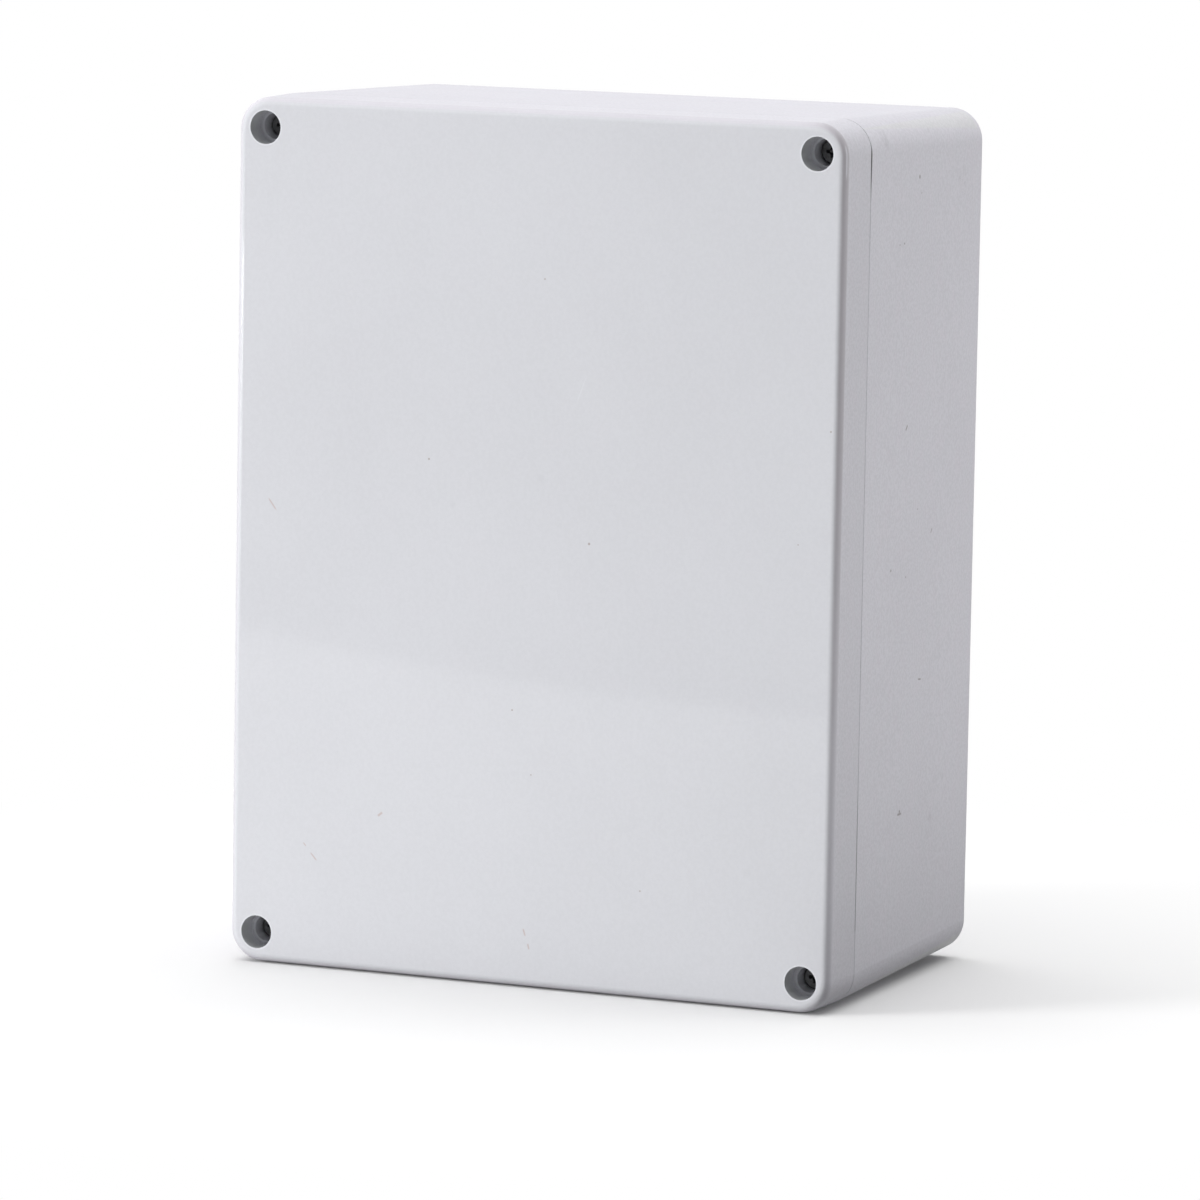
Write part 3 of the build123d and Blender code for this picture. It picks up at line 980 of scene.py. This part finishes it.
class BuildGasket(bpy.types.Operator):
    """Build the rubber cord in the groove of the lid"""

    bl_idname = "project_box.build_gasket"
    bl_label = "Build the gasket"

    def execute(self, context):
        sizes = context.scene.box_gasket
        surface = gasket_surface(sizes, *corners_mm("gasket"))
        cord = skin("gasket_cord", surface, rubber_finish(sizes), looped=True)
        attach(cord, "lid")
        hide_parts("gasket")
        return {"FINISHED"}


class BuildStage(bpy.types.Operator):
    """Set up the table, the lights and the camera"""

    bl_idname = "project_box.build_stage"
    bl_label = "Set up the studio"

    def execute(self, context):
        settings = context.scene.box_studio
        scene = context.scene
        scene.view_settings.view_transform = "Standard"
        lay_table(settings)
        lay_reflection()
        light_room(scene, settings)
        scene.camera = place_camera(settings)
        return {"FINISHED"}


def flat_sheet(name, x, y, height, material):
    """A level sheet: the grids of x and y in metres are its two parameters, at one height all over."""
    rows, columns = x.shape
    points = np.stack([x, y, np.full(x.shape, height)], axis=-1).reshape(-1, 3)
    row = np.arange(rows - 1)[:, None]
    column = np.arange(columns - 1)[None, :]
    start = row * columns + column
    faces = np.stack([start, start + 1, start + columns + 1, start + columns], axis=-1).reshape(-1, 4)
    sheet = add_mesh(name, points, faces.tolist(), material)
    return sheet


def lay_table(settings):
    """A wide white table. Far from the box the camera sees plain white; near it the box's shadow stays.

    It sends less light on to the box than it shows. As if a white card lay before the box and a dark one at
    its right, more comes from in front of the lid, and hardly any from beside the box.
    """
    material = new_material("table_white", settings.floor)
    recipe = Recipe(material)
    spot, x, y, _ = recipe.place()
    cloud = recipe.noise(spot, 3.0, 2.0)
    colour = recipe.tint(cloud, shade(settings.floor, 1.0), shade(settings.floor, 0.995))
    strip_end = HALF_WIDTH + settings.shade_width / MM
    beside = x.between(HALF_WIDTH - 4.0, HALF_WIDTH + 4.0, strip_end - 4.0, strip_end + 4.0)
    beside = beside * y.between(*STRIP_Y)
    ahead = y.between(*BRIGHT_Y) * abs(x).rise(*BRIGHT_X)
    far = shade(settings.floor, settings.floor_bounce)
    sent_on = recipe.tint(ahead, far, shade(settings.floor, settings.front_bounce))
    sent_on = recipe.tint(beside, sent_on, shade(settings.floor, STRIP_BOUNCE))
    bounce = recipe.node("ShaderNodeBsdfDiffuse", None, {"Color": sent_on})
    matt = recipe.node("ShaderNodeBsdfDiffuse", None, {"Color": colour})
    table = recipe.node("ShaderNodeMixShader", None, {0: recipe.shown(), 1: bounce, 2: matt})
    white = recipe.node("ShaderNodeEmission", None, {"Color": WHITE, "Strength": 1.0})
    away = (x * x + y * y).root().rise(*TABLE_FADE)
    mixed = recipe.node("ShaderNodeMixShader", None, {0: recipe.ray("Camera") * away, 1: table, 2: white})
    recipe.node_output("ShaderNodeOutputMaterial", mixed)
    x, y = np.meshgrid(np.linspace(-8.0, 8.0, 9), np.linspace(-8.0, 12.0, 9))
    flat_sheet("table", x, y, -0.0002, material)


def lay_reflection():
    """A dim grey card on the table before the box. Only reflections see it, as the dark end of the room.

    Its near edge is a shallow parabola: the distance grows with the square of the way to the side.
    """
    dim = (0.5, 0.5, 0.51)
    material = new_material("room_dark", dim)
    recipe = Recipe(material)
    dark = recipe.node("ShaderNodeEmission", None, {"Color": shade(dim, 1.0), "Strength": 1.0})
    recipe.node_output("ShaderNodeOutputMaterial", dark)
    side = np.linspace(-3.0, 1.4, 45)[None, :]
    share = np.linspace(0.0, 1.0, 5)[:, None]
    near = REFLECTION_TIP[1] - REFLECTION_BEND * (side - REFLECTION_TIP[0]) ** 2
    y = near * (1 - share) + np.minimum(near - 0.5, -7.5) * share
    x = np.broadcast_to(side, y.shape)
    card = flat_sheet("room_reflection", x, y, 0.0005, material)
    card.visible_camera = False
    card.visible_diffuse = False
    card.visible_shadow = False
    card.visible_transmission = False


def light_room(scene, settings):
    """An even room, a wide light overhead, and soft boxes at the front left and behind on the right."""
    world = bpy.data.worlds.new("studio")
    scene.world = world
    recipe = Recipe(world)
    room = recipe.node("ShaderNodeBackground", None, {"Color": WHITE, "Strength": settings.sky})
    white = recipe.node("ShaderNodeBackground", None, {"Color": WHITE, "Strength": 1.0})
    mixed = recipe.node("ShaderNodeMixShader", None, {0: recipe.shown(), 1: room, 2: white})
    recipe.node_output("ShaderNodeOutputWorld", mixed)
    overhead = bpy.data.lights.new("overhead_light", "SUN")
    overhead.energy = settings.overhead
    overhead.angle = math.radians(80.0)
    hang_light(overhead, Vector(OVERHEAD_PLACE))
    hang_soft_box("left_soft_box", settings.left_lamp, Vector(LEFT_LAMP_PLACE))
    hang_soft_box("rear_soft_box", settings.rear_lamp, Vector(REAR_LAMP_PLACE))


def hang_soft_box(name, power, place):
    """A square lamp, a metre wide."""
    box = bpy.data.lights.new(name, "AREA")
    box.energy = power
    box.shape = "SQUARE"
    box.size = 1.0
    hang_light(box, place)


def hang_light(light, place):
    """Aims a light at the middle of the box. No surface mirrors it, so polished edges stay even."""
    lamp = add_object(light.name, light)
    lamp.location = place
    lamp.visible_glossy = False
    towards_box = Vector((0.0, 0.0, MIDDLE_HEIGHT * MM)) - place
    lamp.rotation_euler = towards_box.to_track_quat("-Z", "Y").to_euler()


def place_camera(settings):
    """A long lens at the front right, a little above the middle of the box."""
    data = bpy.data.cameras.new("camera")
    data.lens = settings.lens
    data.sensor_width = 36.0
    data.clip_end = 60.0
    camera = add_object("camera", data)
    side, rise = settings.azimuth, settings.elevation
    back = Vector((math.sin(side) * math.cos(rise), -math.cos(side) * math.cos(rise), math.sin(rise)))
    level = Vector((math.cos(side), math.sin(side), 0.0))
    upright = back.cross(level)
    right = level * math.cos(settings.roll) + upright * math.sin(settings.roll)
    up = back.cross(right)
    turned = Matrix((right, up, back)).transposed().to_4x4()
    camera.matrix_world = Matrix.Translation(Vector(settings.aim) + back * settings.distance) @ turned
    return camera


class VIEW3D_PT_project_box(bpy.types.Panel):
    """Builds the project box piece by piece"""

    bl_label = "Project Box"
    bl_space_type = "VIEW_3D"
    bl_region_type = "UI"
    bl_category = "Project Box"

    def draw(self, context):
        for step in STEPS:
            self.layout.operator(step.bl_idname)
        for name, group in SETTINGS.items():
            box = self.layout.box()
            settings = getattr(context.scene, name)
            for key in group.__annotations__:
                box.prop(settings, key)


STEPS = (DressBase, DressLid, BuildScrews, BuildInserts, BuildGasket, BuildStage)
SETTINGS = {
    "box_housing": HousingLook,
    "box_screws": ScrewSizes,
    "box_inserts": InsertSizes,
    "box_gasket": GasketSizes,
    "box_studio": StudioSettings,
}


def register():
    for group in SETTINGS.values():
        bpy.utils.register_class(group)
    for name, group in SETTINGS.items():
        setattr(bpy.types.Scene, name, bpy.props.PointerProperty(type=group))
    for step in STEPS:
        bpy.utils.register_class(step)
    bpy.utils.register_class(VIEW3D_PT_project_box)


def unregister():
    bpy.utils.unregister_class(VIEW3D_PT_project_box)
    for step in STEPS:
        bpy.utils.unregister_class(step)
    for name, group in SETTINGS.items():
        delattr(bpy.types.Scene, name)
        bpy.utils.unregister_class(group)


def main():
    """Registers the add-on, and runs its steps."""
    register()
    bpy.ops.project_box.dress_base()
    bpy.ops.project_box.dress_lid()
    bpy.ops.project_box.build_screws()
    bpy.ops.project_box.build_inserts()
    bpy.ops.project_box.build_gasket()
    bpy.ops.project_box.build_stage()


if __name__ == "__main__":
    main()
